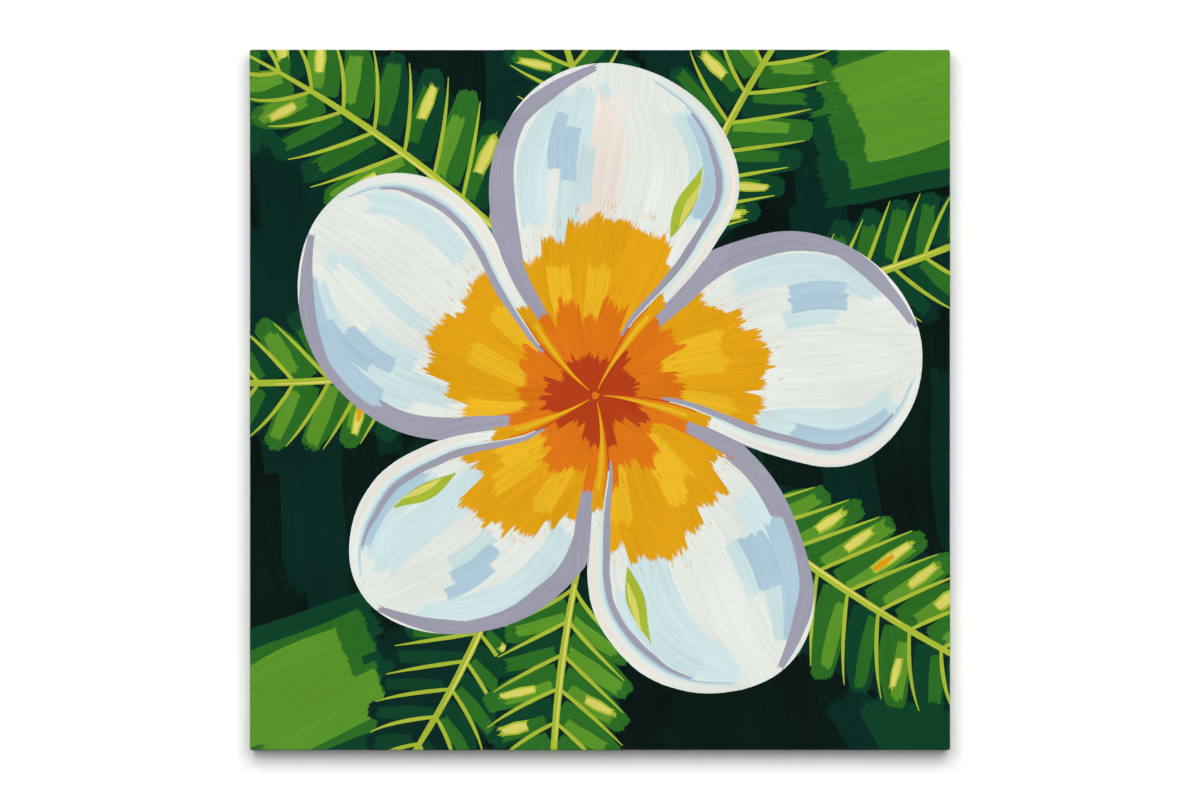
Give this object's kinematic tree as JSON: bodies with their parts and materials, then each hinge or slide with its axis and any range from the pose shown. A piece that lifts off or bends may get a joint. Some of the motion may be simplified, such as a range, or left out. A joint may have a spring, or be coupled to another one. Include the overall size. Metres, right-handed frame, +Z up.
{
  "type": "stretched canvas picture",
  "caption": "Square painted canvas wrapped over a keyed pine frame and stapled at the back, hung flat on a wall by a toothed hanger plate, with bumpers that rest on the wall.",
  "frame": {"origin": "on the wall plane, where the middle notch of the toothed hanger sits over a nail: 32 mm below the top edge, on the picture's centre line", "axes": "+Z up, +X to the right as seen from the front, +Y into the wall; the picture faces -Y and the wall is the plane y = 0"},
  "size_m": [0.61, 0.041, 0.61],
  "materials": {
    "painted_cloth": "woven cotton, primed and painted in flat acrylic colours, satin",
    "pine": "planed softwood, unfinished",
    "key_wood": "sawn hardwood wedge, unfinished",
    "staple_steel": "galvanised wire",
    "pin_steel": "plated steel pin",
    "zinc_plate": "yellow zinc plated pressing",
    "rubber": "matt moulded rubber"
  },
  "bodies": {
    "root": {"canvas": "painted_cloth", "bar_top": "pine", "bar_right": "pine", "bar_bottom": "pine", "bar_left": "pine", "key_top_a": "key_wood", "key_top_b": "key_wood", "key_right_a": "key_wood", "key_right_b": "key_wood", "key_bottom_a": "key_wood", "key_bottom_b": "key_wood", "key_left_a": "key_wood", "key_left_b": "key_wood", "staple_top_1": "staple_steel", "staple_top_2": "staple_steel", "staple_top_3": "staple_steel", "staple_top_4": "staple_steel", "staple_top_5": "staple_steel", "staple_top_6": "staple_steel", "staple_top_7": "staple_steel", "staple_top_8": "staple_steel", "staple_top_9": "staple_steel", "staple_right_1": "staple_steel", "staple_right_2": "staple_steel", "staple_right_3": "staple_steel", "staple_right_4": "staple_steel", "staple_right_5": "staple_steel", "staple_right_6": "staple_steel", "staple_right_7": "staple_steel", "staple_right_8": "staple_steel", "staple_right_9": "staple_steel", "staple_bottom_1": "staple_steel", "staple_bottom_2": "staple_steel", "staple_bottom_3": "staple_steel", "staple_bottom_4": "staple_steel", "staple_bottom_5": "staple_steel", "staple_bottom_6": "staple_steel", "staple_bottom_7": "staple_steel", "staple_bottom_8": "staple_steel", "staple_bottom_9": "staple_steel", "staple_left_1": "staple_steel", "staple_left_2": "staple_steel", "staple_left_3": "staple_steel", "staple_left_4": "staple_steel", "staple_left_5": "staple_steel", "staple_left_6": "staple_steel", "staple_left_7": "staple_steel", "staple_left_8": "staple_steel", "staple_left_9": "staple_steel", "hanger_plate": "zinc_plate", "hanger_pin_left": "pin_steel", "hanger_pin_right": "pin_steel", "bumper_left": "rubber", "bumper_right": "rubber"}
  },
  "joints": []
}
